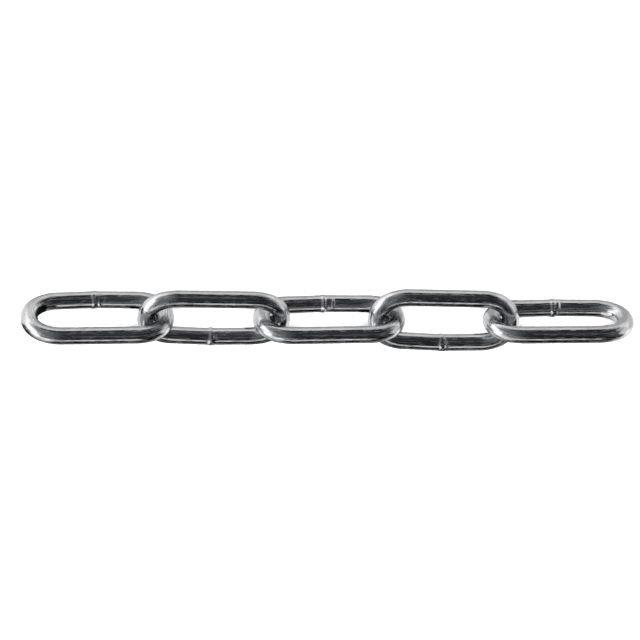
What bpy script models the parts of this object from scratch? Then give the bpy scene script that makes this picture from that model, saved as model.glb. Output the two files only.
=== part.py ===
"""Five links of welded long-link steel chain, laid out in a straight run on a floor.

Metres, +Z up. The run lies along X and rests on Z = 0. Each link leans over on one of its two
straight rails, by turns to one side and the other, the way slack chain lies when nothing holds it.
An upright pivot stands where each link hooks into the next, and carries everything after it.
"""

from math import copysign, cos, pi, radians, sin

import bpy
from mathutils import Matrix, Vector

# One link, measured on the centre line of its wire unless a comment says otherwise.
WIRE_DIAMETER = 0.0061          # 6 mm wire with its zinc
INNER_LENGTH = 0.0419           # clear length inside the link
INNER_WIDTH = 0.0117            # clear width inside the link
BOW_DEPTH = 0.0112              # from the end of a straight rail to the tip of the bow
BOW_SQUARENESS = 2.15           # exponent of the bow's superellipse; 2 is a true ellipse
WELD_WIDTH = 0.0046             # the collar of upset metal at the butt weld
WELD_CREST = 0.7                # share of the collar's width that stands at full height
WELD_PROUD = 0.00028            # how far the collar stands above the wire
WELD_BULGE = 0.0004             # how far the welded rail bends outwards at its weld

# Facets of the round wire.
WIRE_SIDES = 20
BOW_STEPS = 14

# The run: how far apart the links lie, and how each one lies on the floor. lean and turn are in
# degrees, y is its place across the run, lift is how far its neighbours hold it off the floor,
# and weld_x is the place of its weld along the rail.
LINK_SPACING = 0.041
LINKS = (
    {"name": "link_1", "lean": -39.2, "turn": 1.3, "y": -0.00017, "lift": 0.0005, "weld_x": -0.0003},
    {"name": "link_2", "lean": 51.2, "turn": -0.3, "y": 0.00023, "lift": 0.0, "weld_x": -0.0003},
    {"name": "link_3", "lean": -45.3, "turn": 1.4, "y": -0.00007, "lift": 0.0002, "weld_x": 0.0002},
    {"name": "link_4", "lean": 37.6, "turn": -0.6, "y": 0.00023, "lift": 0.0006, "weld_x": 0.0002},
    {"name": "link_5", "lean": -51.2, "turn": 1.0, "y": -0.00007, "lift": 0.0, "weld_x": 0.0004},
)

WIRE_RADIUS = WIRE_DIAMETER / 2
HALF_WIDTH = (INNER_WIDTH + WIRE_DIAMETER) / 2
HALF_LENGTH = (INNER_LENGTH + WIRE_DIAMETER) / 2
HALF_STRAIGHT = HALF_LENGTH - BOW_DEPTH


def clear_scene():
    for obj in list(bpy.data.objects):
        bpy.data.objects.remove(obj, do_unlink=True)


def zinc_steel():
    mat = bpy.data.materials.new("bright_zinc_steel")
    mat.use_nodes = True
    bsdf = mat.node_tree.nodes["Principled BSDF"]
    bsdf.inputs["Base Color"].default_value = (0.62, 0.63, 0.64, 1)
    bsdf.inputs["Metallic"].default_value = 1
    bsdf.inputs["Roughness"].default_value = 0.22
    return mat


def bow_points(end):
    """The bow at the +X end (end 1) or the -X end (end -1), from one rail round to the other."""
    points = []
    for step in range(BOW_STEPS + 1):
        angle = pi * step / BOW_STEPS - pi / 2
        along = abs(cos(angle)) ** (2 / BOW_SQUARENESS)
        across = copysign(abs(sin(angle)) ** (2 / BOW_SQUARENESS), angle)
        points.append((end * (HALF_STRAIGHT + BOW_DEPTH * along), end * HALF_WIDTH * across, 1))
    return points


def weld_points(weld_side, weld_x):
    """The collar on the rail at Y = weld_side * HALF_WIDTH, in the order the loop passes it."""
    y = weld_side * (HALF_WIDTH + WELD_BULGE)
    proud = 1 + WELD_PROUD / WIRE_RADIUS
    foot = WELD_WIDTH / 2
    crest = foot * WELD_CREST
    collar = [(-foot, 1), (-crest, proud), (crest, proud), (foot, 1)]
    points = [(weld_x + x, y, size) for x, size in collar]
    return points if weld_side < 0 else points[::-1]


def link_points(weld_side, weld_x):
    """The whole loop as (x, y, wire size), anticlockwise from the -Y end of the +X bow."""
    points = bow_points(1)
    if weld_side > 0:
        points += weld_points(weld_side, weld_x)
    points += bow_points(-1)
    if weld_side < 0:
        points += weld_points(weld_side, weld_x)
    return points


def link_place(index):
    """Where link number index lies: the matrix that stands its flat outline in the run."""
    link = LINKS[index]
    lean = radians(link["lean"])
    x = (index - (len(LINKS) - 1) / 2) * LINK_SPACING
    reach_down = (HALF_WIDTH + WELD_BULGE) * sin(abs(lean)) + WIRE_RADIUS + WELD_PROUD
    place = Matrix.Translation((x, link["y"], reach_down + link["lift"]))
    return place @ Matrix.Rotation(radians(link["turn"]), 4, "Z") @ Matrix.Rotation(lean, 4, "X")


def make_link(index, collection):
    name = LINKS[index]["name"]
    lean = LINKS[index]["lean"]
    # The lower rail is the welded one: at +Y on a link that leans over to -Y.
    weld_side = 1 if lean < 0 else -1
    curve = bpy.data.curves.new(name, "CURVE")
    curve.dimensions = "3D"
    curve.twist_mode = "Z_UP"
    # The flats of the faceted wire touch the true round.
    curve.bevel_depth = WIRE_RADIUS / cos(pi / WIRE_SIDES)
    curve.bevel_resolution = WIRE_SIDES // 2 - 2
    spline = curve.splines.new("POLY")
    points = link_points(weld_side, LINKS[index]["weld_x"])
    spline.points.add(len(points) - 1)
    spline.use_cyclic_u = True
    # One flat of the wire faces straight down, so the weld rests on a face and not on an edge.
    flat_down = radians(90 - abs(lean))
    for point, (px, py, size) in zip(spline.points, points):
        point.co = (px, py, 0, 1)
        point.radius = size
        point.tilt = flat_down + pi / WIRE_SIDES
    curve.materials.append(zinc_steel())
    link = bpy.data.objects.new(name, curve)
    collection.objects.link(link)
    return link


def pivot_point(index):
    """Midway between the two wires that hook together, link index and the one before it."""
    before = link_place(index - 1) @ Vector((HALF_LENGTH, 0, 0))
    after = link_place(index) @ Vector((-HALF_LENGTH, 0, 0))
    return (before + after) / 2


def main():
    clear_scene()
    collection = bpy.data.collections.new("long_link_chain")
    bpy.context.scene.collection.children.link(collection)
    parent = None
    parent_place = Matrix.Identity(4)
    for index in range(len(LINKS)):
        if index > 0:
            # Each pivot is upright, so the run bends sideways over the floor.
            pivot = bpy.data.objects.new(f"pivot_{index}", None)
            collection.objects.link(pivot)
            pivot.parent = parent
            pivot_place = Matrix.Translation(pivot_point(index))
            pivot.matrix_local = parent_place.inverted() @ pivot_place
            parent, parent_place = pivot, pivot_place
        link = make_link(index, collection)
        link.parent = parent
        link.matrix_local = parent_place.inverted() @ link_place(index)
    bpy.context.view_layer.update()


main()
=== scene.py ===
from math import atan2, copysign, cos, degrees, pi, radians, sin

import bpy
from mathutils import Matrix, Vector, noise


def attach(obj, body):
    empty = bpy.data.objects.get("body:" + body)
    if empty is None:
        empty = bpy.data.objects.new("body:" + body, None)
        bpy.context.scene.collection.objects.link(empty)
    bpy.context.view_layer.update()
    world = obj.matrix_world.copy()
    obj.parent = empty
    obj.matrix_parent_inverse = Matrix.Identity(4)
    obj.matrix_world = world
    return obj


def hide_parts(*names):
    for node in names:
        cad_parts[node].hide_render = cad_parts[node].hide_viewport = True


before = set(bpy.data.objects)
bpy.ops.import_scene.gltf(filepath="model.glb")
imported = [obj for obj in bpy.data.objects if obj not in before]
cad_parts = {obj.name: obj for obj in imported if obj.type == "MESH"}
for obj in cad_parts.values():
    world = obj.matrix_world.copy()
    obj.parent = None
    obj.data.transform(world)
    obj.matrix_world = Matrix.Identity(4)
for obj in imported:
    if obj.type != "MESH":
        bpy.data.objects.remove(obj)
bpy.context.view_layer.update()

print("frame loaded:", len(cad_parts), "links")


def hexToLinear(hexColour):
    # the sRGB curve, one channel at a time
    channels = [int(hexColour[i:i + 2], 16) / 255 for i in (1, 3, 5)]
    linear = [c / 12.92 if c <= 0.04045 else ((c + 0.055) / 1.055) ** 2.4 for c in channels]
    return (*linear, 1)


def addNode(tree, kind, settings=None, inputs=None):
    # settings are the node's own properties; inputs are values or sockets, by name or number
    node = tree.nodes.new(kind)
    for key, value in (settings or {}).items():
        setattr(node, key, value)
    for key, value in (inputs or {}).items():
        if isinstance(value, bpy.types.NodeSocket):
            tree.links.new(value, node.inputs[key])
        else:
            node.inputs[key].default_value = value
    return node


def deselectAll():
    if bpy.context.object and bpy.context.object.mode != "OBJECT":
        bpy.ops.object.mode_set(mode="OBJECT")
    bpy.ops.object.select_all(action="DESELECT")


def makeActive(obj):
    deselectAll()
    obj.select_set(True)
    bpy.context.view_layer.objects.active = obj


# The camera looks down on the run, a little from the front and a little from the left.
cameraView = {
    "side": 7.26,             # degrees left of straight above
    "height": 83,             # degrees above the floor
    "roll": -0.37,            # degrees
    "distance": 1.8,
    "pixelsPerMetre": 2831,   # where it aims
    "aim": (-0.00325, -0.00023, 0.010),
    "sensor": 36,             # mm
    "frame": 640,             # pixels across the photograph
    "seesTo": 20,
}


def placeCamera():
    view = cameraView
    side, height = radians(view["side"]), radians(view["height"])
    camera = bpy.data.cameras.new("camera")
    camera.sensor_width = view["sensor"]
    camera.lens = view["sensor"] * view["pixelsPerMetre"] * view["distance"] / view["frame"]
    camera.clip_end = view["seesTo"]
    back = Vector((-sin(side), -cos(height), sin(height))).normalized()
    right = Vector((0, 1, 0)).cross(back).normalized()
    up = back.cross(right)
    turn = Matrix.Rotation(radians(view["roll"]), 4, "Z")
    axes = Matrix((right, up, back)).transposed().to_4x4()
    obj = bpy.data.objects.new("camera", camera)
    bpy.context.scene.collection.objects.link(obj)
    obj.matrix_world = Matrix.Translation(Vector(view["aim"]) + back * view["distance"]) @ axes @ turn
    bpy.context.scene.camera = obj


# Wire, outline and places in the run are the same as the CAD links have.
wire = {
    "diameter": 0.0061,
    "innerLength": 0.0419,
    "innerWidth": 0.0117,
    "bowDepth": 0.0112,       # from the end of a straight rail to the tip of the bow
    "bowSquareness": 2.15,    # exponent of the bow's superellipse; 2 is a true ellipse
    "sides": 64,
    "cuts": 18,               # made twice, which leaves 361 short lengths of wire
    "bowPoints": 60,
    "bendOnset": 0.004,       # length over which the surface goes from smooth rail to wrinkled bow
    "tiny": 0.00001,          # points closer than this are the same point
}
weld = {
    "bulge": 0.0004,          # how far the rail bends outwards at its weld
    "collar": 0.0025,         # from the middle of the weld to the foot of its collar
    "highest": 0.0004,        # no ridge or groove is higher or deeper than this
    "wander": 0.0004,         # how far the ridges wander to and fro on their way round the wire
    "wanderScale": 420,       # which they do about once in 2.4 mm
    "lumpHeight": 0.0003,     # of the rough patches that the squeezed metal leaves
    "lumpSize": 0.0007,
    "lumpDetail": 2,
    "fineWithin": 0.003,      # this close to the weld the short lengths are cut again,
    "fineCuts": 3,            # each into four
}
# How each weld was squeezed up and trimmed. A form is its place along the rail from the middle of
# the weld, half its length, the way it faces in degrees (0 up, 90 to the near side), half its
# spread round the wire (400 for all the way), how far along it slants with each degree, and its
# height, which for lumps is a share of lumpHeight.
weldForms = (
    {"ridges": ((-0.0005, 0.0010, 0, 400, 0, 0.00022), (0.0014, 0.0007, 50, 50, 0, 0.00022),
                (0.0003, 0.0006, 80, 40, 0, 0.00012)),
     "grooves": ((0.0027, 0.0003, 0, 120, 0, 0.00008),),
     "lumps": ((0.0, 0.0022, 45, 60, 0, 0.6),)},
    {"ridges": ((0.0, 0.0014, 0, 400, 0, 0.00028), (-0.0003, 0.0012, 60, 35, 0, 0.00018)),
     "grooves": ((0.0014, 0.0006, 15, 35, 0.00001, 0.00012),),
     "lumps": ((0.0, 0.0016, 60, 60, 0, 0.35),)},
    {"ridges": ((-0.00135, 0.0012, 0, 400, 0, 0.0003), (0.00185, 0.0006, -10, 70, 0, 0.00018),
                (-0.0011, 0.0006, 45, 50, 0, 0.00012)),
     "grooves": ((0.0024, 0.0004, 5, 30, 0, 0.00014),),
     "lumps": ((0.0001, 0.0019, 45, 65, 0, 0.9),)},
    {"ridges": ((-0.0005, 0.0010, 0, 400, 0, 0.00022), (0.0005, 0.0005, 0, 60, 0.00002, 0.00018),
                (0.0006, 0.0009, 88, 30, 0, 0.00018)),
     "grooves": ((0.0011, 0.0004, 0, 60, 0.00002, 0.00012),),
     "lumps": ((0.0, 0.0017, 30, 70, 0, 0.35),)},
    {"ridges": ((-0.0013, 0.0012, 0, 400, 0, 0.0003), (-0.0005, 0.0012, 80, 40, 0, 0.0002)),
     "grooves": ((0.0009, 0.0004, -20, 80, 0, 0.0002),),
     "lumps": ((-0.0003, 0.0016, 50, 60, 0, 0.8),)},
)
run = {
    "spacing": 0.041,
    "collarUnder": 0.00028,   # the weld's collar holds the rail off the floor by this much
    # lean and turn in degrees, place across, lift off the floor, place of the weld along its rail
    "links": (
        (-39.2, 1.3, -0.00017, 0.0005, -0.0003),
        (51.2, -0.3, 0.00023, 0.0, -0.0003),
        (-45.3, 1.4, -0.00007, 0.0002, 0.0002),
        (37.6, -0.6, 0.00023, 0.0006, 0.0002),
        (-51.2, 1.0, -0.00007, 0.0, 0.0004),
    ),
}
halfWidth = (wire["innerWidth"] + wire["diameter"]) / 2
halfLength = (wire["innerLength"] + wire["diameter"]) / 2
halfStraight = halfLength - wire["bowDepth"]


def bowPoints(end):
    points = []
    steps = wire["bowPoints"]
    for step in range(steps + 1):
        angle = pi * step / steps - pi / 2
        along = abs(cos(angle)) ** (2 / wire["bowSquareness"])
        across = copysign(abs(sin(angle)) ** (2 / wire["bowSquareness"]), angle)
        points.append((end * (halfStraight + wire["bowDepth"] * along), end * halfWidth * across))
    return points


def loopPoints(weldX):
    # From the weld, on the rail at +Y, anticlockwise round the link and back.
    weldY = halfWidth + weld["bulge"]
    return [(weldX, weldY)] + bowPoints(-1) + bowPoints(1)


def loopPath(name, points):
    curve = bpy.data.curves.new(name, "CURVE")
    curve.dimensions = "3D"
    curve.twist_mode = "Z_UP"
    spline = curve.splines.new("POLY")
    spline.points.add(len(points) - 1)
    spline.use_cyclic_u = True
    for point, (x, y) in zip(spline.points, points):
        point.co = (x, y, 0, 1)
    obj = bpy.data.objects.new(name, curve)
    bpy.context.scene.collection.objects.link(obj)
    return obj


def loopLength(points):
    return sum((Vector(a) - Vector(b)).length for a, b in zip(points, points[1:] + points[:1]))


def cutLengthwise(obj, cuts, nearEnds=None):
    # Subdivides the edges that run along the wire, all of them or those near its two ends.
    length = max(vertex.co.x for vertex in obj.data.vertices)
    bpy.ops.object.mode_set(mode="EDIT")
    bpy.ops.mesh.select_mode(type="EDGE")
    bpy.ops.mesh.select_all(action="DESELECT")
    bpy.ops.object.mode_set(mode="OBJECT")
    for edge in obj.data.edges:
        a, b = (obj.data.vertices[v].co for v in edge.vertices)
        middle = (a.x + b.x) / 2
        edge.select = abs(a.x - b.x) > wire["tiny"] and (
            nearEnds is None or min(middle, length - middle) < nearEnds)
    bpy.ops.object.mode_set(mode="EDIT")
    bpy.ops.mesh.subdivide(number_cuts=cuts)
    bpy.ops.object.mode_set(mode="OBJECT")


def straightWire(name, length):
    # A length of wire along X, open at both ends, with a ring of edges every 0.3 mm or so.
    deselectAll()
    bpy.ops.mesh.primitive_cylinder_add(
        vertices=wire["sides"], radius=wire["diameter"] / 2, depth=length, end_fill_type="NOTHING",
        location=(length / 2, 0, 0), rotation=(0, pi / 2, 0))
    obj = bpy.context.object
    obj.name = name
    bpy.ops.object.transform_apply(location=True, rotation=True, scale=True)
    cutLengthwise(obj, wire["cuts"])
    cutLengthwise(obj, wire["cuts"])
    cutLengthwise(obj, weld["fineCuts"], nearEnds=weld["fineWithin"])
    return obj


def hump(x, middle, halfLong):
    # 1 in the middle, falling smoothly to 0 at both ends
    u = (x - middle) / halfLong
    return (1 - u * u) ** 2 if abs(u) < 1 else 0


def markWire(obj, length):
    # What the material needs to know of the wire before it is bent: where each point lay along
    # and round it, and how near it is to the weld, which joins its two ends. All three attributes
    # are made before one is filled, because a new one can move the others.
    for name, kind in (("straightWire", "FLOAT_VECTOR"), ("nearWeld", "FLOAT"), ("bent", "FLOAT")):
        obj.data.attributes.new(name, kind, "POINT")
    straight = obj.data.attributes["straightWire"].data
    nearWeld = obj.data.attributes["nearWeld"].data
    for vertex in obj.data.vertices:
        straight[vertex.index].vector = vertex.co
        toWeld = min(vertex.co.x, length - vertex.co.x)
        nearWeld[vertex.index].value = hump(toWeld, 0, weld["collar"])


def markBows(obj):
    # 0 on the straight rails, 1 round the bows, where bending has wrinkled the surface
    bent = obj.data.attributes["bent"].data
    for vertex in obj.data.vertices:
        share = (abs(vertex.co.x) - halfStraight) / wire["bendOnset"]
        bent[vertex.index].value = min(max(share, 0), 1)


def formHeight(forms, x, facing):
    total = 0
    for middle, halfLong, turn, halfSpread, slant, high in forms:
        aside = (facing - turn + 180) % 360 - 180
        total += high * hump(x - slant * aside, middle, halfLong) * hump(aside, 0, halfSpread)
    return total


def raiseWeld(obj, weldPlace, forms):
    # The collar of upset metal: its ridges and grooves, and lumps where the flash was trimmed.
    # Each kind of form: the height of a full share, how far it stands out, and its middle level.
    highest = weld["highest"]
    kinds = {"ridges": (highest, highest, 0), "grooves": (highest, -highest, 0),
             "lumps": (1, weld["lumpHeight"], 0.5)}
    groups = {name: obj.vertex_groups.new(name=name) for name in kinds}
    for vertex in obj.data.vertices:
        away = vertex.co - weldPlace
        if abs(away.x) < weld["fineWithin"] and Vector((away.y, away.z)).length < wire["diameter"]:
            wander = weld["wander"] * noise.noise(vertex.co * weld["wanderScale"])
            facing = degrees(atan2(-away.y, away.z))
            for name, (full, _, _) in kinds.items():
                share = formHeight(forms[name], away.x + wander, facing) / full
                groups[name].add([vertex.index], min(share, 1), "REPLACE")
    texture = bpy.data.textures.new("weldLumps", "CLOUDS")
    texture.noise_scale = weld["lumpSize"]
    texture.noise_depth = weld["lumpDetail"]
    for name, (_, strength, middle) in kinds.items():
        displace = obj.modifiers.new(name, "DISPLACE")
        displace.strength = strength
        displace.mid_level = middle
        displace.vertex_group = name
        if name == "lumps":
            displace.texture = texture
        bpy.ops.object.modifier_apply(modifier=displace.name)
    obj.vertex_groups.clear()


def linkX(index):
    return (index - (len(run["links"]) - 1) / 2) * run["spacing"]


def bendLink(index):
    lean, turn, y, lift, weldX = run["links"][index]
    name = f"chainLink{index + 1}"
    # The lower rail is the welded one: at +Y on a link that leans over to -Y.
    weldSide = 1 if lean < 0 else -1
    weldX *= weldSide
    weldY = halfWidth + weld["bulge"]
    points = loopPoints(weldX)
    length = loopLength(points)
    path = loopPath(name + "Path", points)
    obj = straightWire(name, length)
    markWire(obj, length)
    makeActive(obj)
    bend = obj.modifiers.new("bend", "CURVE")
    bend.object = path
    bend.deform_axis = "POS_X"
    bpy.ops.object.modifier_apply(modifier=bend.name)
    bpy.ops.object.mode_set(mode="EDIT")
    bpy.ops.mesh.select_all(action="SELECT")
    bpy.ops.mesh.remove_doubles(threshold=wire["tiny"])
    bpy.ops.mesh.normals_make_consistent(inside=False)
    bpy.ops.object.mode_set(mode="OBJECT")
    bpy.data.objects.remove(path)
    reachDown = weldY * sin(radians(abs(lean))) + wire["diameter"] / 2 + run["collarUnder"]
    place = Matrix.Translation((linkX(index), y, reachDown + lift))
    place = place @ Matrix.Rotation(radians(turn), 4, "Z") @ Matrix.Rotation(radians(lean), 4, "X")
    if weldSide < 0:
        # The loop turned half round in its own plane, so the weld is on the rail at -Y.
        place = place @ Matrix.Rotation(pi, 4, "Z")
    markBows(obj)
    obj.data.transform(place)
    obj.data.update()
    raiseWeld(obj, place @ Vector((weldX, weldY, 0)), weldForms[index])
    bpy.ops.object.shade_smooth()
    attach(obj, f"chain_link_{index + 1}")
    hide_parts(f"link_{index + 1}")
    return obj


zinc = {
    "colour": "#adafb1",
    "dullColour": "#9a9c9d",
    "dullSize": 0.0025,         # of the clouds in the plating
    "dullDetail": 3,
    "roughness": 0.07,
    "streakRoughness": 0.5,
    "streakLength": 0.03,       # along the wire
    "streakWidth": 0.00038,     # round it; the die's real lines are too fine to show, these are coarser
    "streakDetail": 3,
    "streakUneven": 0.6,
    "dashLength": 0.0035,       # the streaks come and go along the wire
    "dashDetail": 2,
    "dashUneven": 0.5,
    "threadsFrom": 0.92,        # streaks and dashes together: smooth below this,
    "threadsTo": 1.22,          # a full thread above this
    "streakDepth": 0.000004,
    "wrinkleSize": 0.0011,      # of the marks that bending leaves in the bows
    "wrinkleDetail": 2,
    "wrinkleTwist": 0.6,
    "wrinkleDepth": 0.00006,
    "bowRoughness": 0.03,       # added where the wire is bent, and at the weld
    "weldRoughness": 0.06,
}


def brightZinc():
    # Bright zinc plating on drawn mild steel wire. The die leaves fine lines along the wire, so the
    # mirror breaks up into dark and light threads; bending wrinkles it, and the bows glitter.
    mat = bpy.data.materials.new("brightZincOnDrawnWire")
    mat.use_nodes = True
    tree = mat.node_tree
    bsdf = tree.nodes["Principled BSDF"]
    bsdf.inputs["Metallic"].default_value = 1
    place = addNode(tree, "ShaderNodeAttribute", {"attribute_name": "straightWire"}).outputs["Vector"]
    atWeld = addNode(tree, "ShaderNodeAttribute", {"attribute_name": "nearWeld"}).outputs["Fac"]
    bent = addNode(tree, "ShaderNodeAttribute", {"attribute_name": "bent"}).outputs["Fac"]

    # the same noise twice, drawn out along the wire: long streaks and short dashes
    drawnOut = []
    for kind in ("streak", "dash"):
        stretch = (1 / zinc[kind + "Length"], 1 / zinc["streakWidth"], 1 / zinc["streakWidth"])
        drawn = addNode(tree, "ShaderNodeMapping", {"vector_type": "POINT"}, {
            "Vector": place, "Scale": stretch}).outputs[0]
        drawnOut.append(addNode(tree, "ShaderNodeTexNoise", None, {
            "Vector": drawn, "Scale": 1, "Detail": zinc[kind + "Detail"],
            "Roughness": zinc[kind + "Uneven"]}).outputs["Fac"])
    streaks, dashes = drawnOut
    both = addNode(tree, "ShaderNodeMath", {"operation": "ADD"}, {0: streaks, 1: dashes}).outputs[0]
    threads = addNode(tree, "ShaderNodeMapRange", {"interpolation_type": "SMOOTHSTEP"}, {
        "Value": both, "From Min": zinc["threadsFrom"], "From Max": zinc["threadsTo"]}).outputs[0]
    rough = addNode(tree, "ShaderNodeMapRange", None, {
        "Value": threads, "To Min": zinc["roughness"], "To Max": zinc["streakRoughness"]}).outputs[0]
    for where, extra in ((atWeld, zinc["weldRoughness"]), (bent, zinc["bowRoughness"])):
        rough = addNode(tree, "ShaderNodeMath", {"operation": "MULTIPLY_ADD"}, {
            0: where, 1: extra, 2: rough}).outputs[0]
    tree.links.new(rough, bsdf.inputs["Roughness"])

    # inputs 6 and 7 of a Mix node are its two colours
    clouds = addNode(tree, "ShaderNodeTexNoise", None, {
        "Vector": place, "Scale": 1 / zinc["dullSize"], "Detail": zinc["dullDetail"]}).outputs["Fac"]
    colour = addNode(tree, "ShaderNodeMix", {"data_type": "RGBA"}, {
        "Factor": clouds, 6: hexToLinear(zinc["colour"]), 7: hexToLinear(zinc["dullColour"])}).outputs[2]
    tree.links.new(colour, bsdf.inputs["Base Color"])

    # heights are in metres, so the bump is taken as it is
    marks = addNode(tree, "ShaderNodeTexNoise", None, {
        "Vector": place, "Scale": 1 / zinc["wrinkleSize"], "Detail": zinc["wrinkleDetail"],
        "Distortion": zinc["wrinkleTwist"]}).outputs["Fac"]
    wrinkles = addNode(tree, "ShaderNodeMath", {"operation": "MULTIPLY"}, {0: marks, 1: bent}).outputs[0]
    deepWrinkles = addNode(tree, "ShaderNodeMath", {"operation": "MULTIPLY"}, {
        0: wrinkles, 1: zinc["wrinkleDepth"]}).outputs[0]
    height = addNode(tree, "ShaderNodeMath", {"operation": "MULTIPLY_ADD"}, {
        0: streaks, 1: zinc["streakDepth"], 2: deepWrinkles}).outputs[0]
    bump = addNode(tree, "ShaderNodeBump", None, {"Height": height, "Distance": 1, "Strength": 1})
    tree.links.new(bump.outputs[0], bsdf.inputs["Normal"])
    return mat


def buildChain():
    steel = brightZinc()
    for index in range(len(run["links"])):
        link = bendLink(index)
        link.data.materials.clear()
        link.data.materials.append(steel)
        print("bent", link.name, len(link.data.polygons), "faces")


matte = {
    "roughness": 0.9,
    "gloss": 0,
}


def mattePaint(name, hexColour):
    # Flat emulsion paint on board or card: one even tone with no shine from any side.
    mat = bpy.data.materials.new(name)
    mat.use_nodes = True
    bsdf = mat.node_tree.nodes["Principled BSDF"]
    bsdf.inputs["Base Color"].default_value = hexToLinear(hexColour)
    bsdf.inputs["Roughness"].default_value = matte["roughness"]
    bsdf.inputs["Specular IOR Level"].default_value = matte["gloss"]
    return mat


floorBoard = {
    "colour": "#f4f4f4",
    "size": 8,
}


def pourFloor():
    deselectAll()
    bpy.ops.mesh.primitive_plane_add(size=floorBoard["size"], location=(0, 0, 0))
    floor = bpy.context.object
    floor.name = "paleFloor"
    floor.visible_glossy = False                  # the lower half of the dome stands in for it
    floor.data.materials.append(mattePaint("matteFloor", floorBoard["colour"]))


# Two large soft lamps light the floor from either side of the camera, along the run, and each
# fills in the other's shade. Only the tight gaps where links hook together stay dark.
lamps = {
    "power": 5.0,
    "spread": 20,               # degrees from the camera to each lamp
    "angle": 26,                # degrees across the lamp, seen from the floor
}


def lightFloor():
    height = radians(cameraView["height"])
    for name, spread in (("lampLeft", -lamps["spread"]), ("lampRight", lamps["spread"])):
        light = bpy.data.lights.new(name, "SUN")
        light.energy = lamps["power"]
        light.angle = radians(lamps["angle"])
        obj = bpy.data.objects.new(name, light)
        bpy.context.scene.collection.objects.link(obj)
        aside = radians(spread - cameraView["side"])
        towards = Vector((sin(aside), -cos(height), cos(aside)))
        obj.rotation_euler = towards.to_track_quat("Z", "Y").to_euler()
        obj.visible_glossy = False                # the metal is lit by the dome alone


# Dark cards that only the metal sees, as a reflection. Close to the chain the floor lies in its
# shade, and the dome that stands in for the floor does not.
cards = {
    "colour": "#101010",
    "underJoint": (0.016, 0.026),
    "leftEnd": (0.046, 0.020),
    "leftEndPlace": (-0.130, -0.0115),            # beside the first bow, on the near side
    "standing": (0.010, 0.0115),                  # height and width
    "standingPlace": (-0.0997, -0.0012, 0.0055),  # in the first window, close to its bow
    "offFloor": 0.0001,
}


def shadeJoints():
    paint = mattePaint("blackCard", cards["colour"])
    low = cards["offFloor"]
    placed = []
    for index in range(len(run["links"]) - 1):
        placed.append(((linkX(index + 0.5), 0, low), 0, cards["underJoint"]))
    placed.append(((*cards["leftEndPlace"], low), 0, cards["leftEnd"]))
    placed.append((cards["standingPlace"], pi / 2, cards["standing"]))
    for number, (place, tilt, size) in enumerate(placed, 1):
        deselectAll()
        bpy.ops.mesh.primitive_plane_add(size=1, location=place, rotation=(0, tilt, 0))
        card = bpy.context.object
        card.name = f"shadeCard{number}"
        card.scale = (*size, 1)
        bpy.ops.object.transform_apply(location=True, rotation=True, scale=True)
        card.data.materials.append(paint)
        card.visible_camera = False
        card.visible_diffuse = False
        card.visible_shadow = False


# The studio is a dome of soft panels round the chain, dark above where the camera hangs.
# Each panel is a patch of directions: degrees across the run from straight up towards +Y,
# degrees along the run towards +X, the width of its soft edge, and how bright it is.
studio = {
    "backdrop": "#f8f8f8",
    "dark": 0.01,
    "darkTint": "#e6f8ff",      # the dim parts of the studio are a little blue-green
    "panelTint": "#ffffff",
    "whiteFrom": 0.6,           # brightness from which a panel is plain white
    "panels": {
        "leftWindow": ((-95, 78), (-95, -50), 6, 2.2),
        "leftGlow": ((-80, 80), (-95, -40), 10, 0.6),
        "ceilingLeft": ((-50, 60), (-95, -5), 16, 0.27),
        "ceiling": ((-48, 42), (-30, 40), 6, 0.035),
        "ceilingFar": ((5, 45), (-20, 18), 10, 0.03),
        "farWall": ((64, 96), (-95, 95), 3, 1.5),
        "farFloor": ((96, 200), (-95, 95), 4, 0.78),
        "farLeft": ((50, 200), (-95, -18), 8, 0.85),
        "farRight": ((52, 200), (27, 95), 7, 0.42),
        "rightUpper": ((27, 66), (39, 95), 6, 0.8),
        "rightWall": ((-48, 40), (58, 95), 7, 1.2),
        "rightLow": ((-200, -40), (64, 95), 8, 1.3),
        "rightFloor": ((-200, -104), (42, 95), 8, 0.6),
        "ceilingRight": ((-60, 35), (32, 95), 10, 0.1),
        "nearLeft": ((-109, -60), (-70, -16), 5, 1.9),
        "nearLeftGap": ((-140, -106), (-70, -16), 5, 0.35),
        "nearLeftFloor": ((-200, -138), (-72, -16), 6, 0.95),
        "nearStrip": ((-84, -66), (-24, 14), 3, 1.5),
        "nearFloor": ((-200, -126), (-95, 95), 8, 0.45),
        "nearFloorRight": ((-200, -120), (24, 95), 7, 0.9),
    },
}


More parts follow.
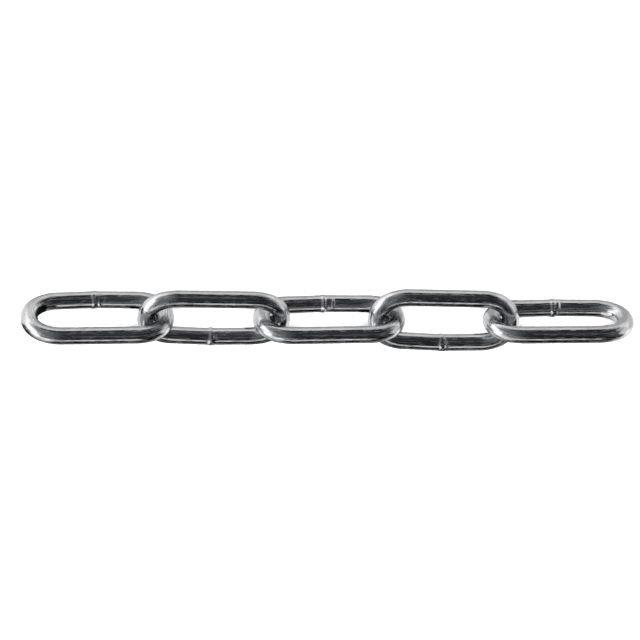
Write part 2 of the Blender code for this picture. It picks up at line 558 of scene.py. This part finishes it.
def softEdges(tree, angle, low, high, soft):
    # 1 between low and high degrees, fading to 0 over the soft edge on both sides
    edges = []
    for limit, outside, inside in ((low, 0, 1), (high, 1, 0)):
        edges.append(addNode(tree, "ShaderNodeMapRange", {"interpolation_type": "SMOOTHSTEP"}, {
            "Value": angle, "From Min": radians(limit - soft), "From Max": radians(limit + soft),
            "To Min": outside, "To Max": inside}).outputs[0])
    return addNode(tree, "ShaderNodeMath", {"operation": "MULTIPLY"}, {0: edges[0], 1: edges[1]}).outputs[0]


def hangPanels():
    world = bpy.data.worlds.new("panelStudio")
    bpy.context.scene.world = world
    world.use_nodes = True
    world.cycles_visibility.diffuse = False       # the floor has its own light
    tree = world.node_tree
    tree.nodes.clear()
    direction = addNode(tree, "ShaderNodeTexCoord").outputs["Generated"]
    xyz = addNode(tree, "ShaderNodeSeparateXYZ", None, {0: direction})
    across = addNode(tree, "ShaderNodeMath", {"operation": "ARCTAN2"}, {
        0: xyz.outputs["Y"], 1: xyz.outputs["Z"]}).outputs[0]
    along = addNode(tree, "ShaderNodeMath", {"operation": "ARCSINE"}, {0: xyz.outputs["X"]}).outputs[0]
    light = studio["dark"]
    for acrossLimits, alongLimits, soft, brightness in studio["panels"].values():
        patch = addNode(tree, "ShaderNodeMath", {"operation": "MULTIPLY"}, {
            0: softEdges(tree, across, *acrossLimits, soft),
            1: softEdges(tree, along, *alongLimits, soft)}).outputs[0]
        light = addNode(tree, "ShaderNodeMath", {"operation": "MULTIPLY_ADD"}, {
            0: patch, 1: brightness, 2: light}).outputs[0]
    whiteness = addNode(tree, "ShaderNodeMapRange", None, {
        "Value": light, "From Max": studio["whiteFrom"]}).outputs[0]
    tint = addNode(tree, "ShaderNodeMix", {"data_type": "RGBA"}, {
        "Factor": whiteness, 6: hexToLinear(studio["darkTint"]),
        7: hexToLinear(studio["panelTint"])}).outputs[2]
    panels = addNode(tree, "ShaderNodeBackground", None, {"Color": tint, "Strength": light})
    backdrop = addNode(tree, "ShaderNodeBackground", None, {"Color": hexToLinear(studio["backdrop"])})
    seen = addNode(tree, "ShaderNodeLightPath").outputs["Is Camera Ray"]
    both = addNode(tree, "ShaderNodeMixShader", None, {
        0: seen, 1: panels.outputs[0], 2: backdrop.outputs[0]})
    addNode(tree, "ShaderNodeOutputWorld", None, {"Surface": both.outputs[0]})


placeCamera()
buildChain()
pourFloor()
lightFloor()
shadeJoints()
hangPanels()
bpy.context.scene.view_settings.view_transform = "Standard"
print("studio lit")
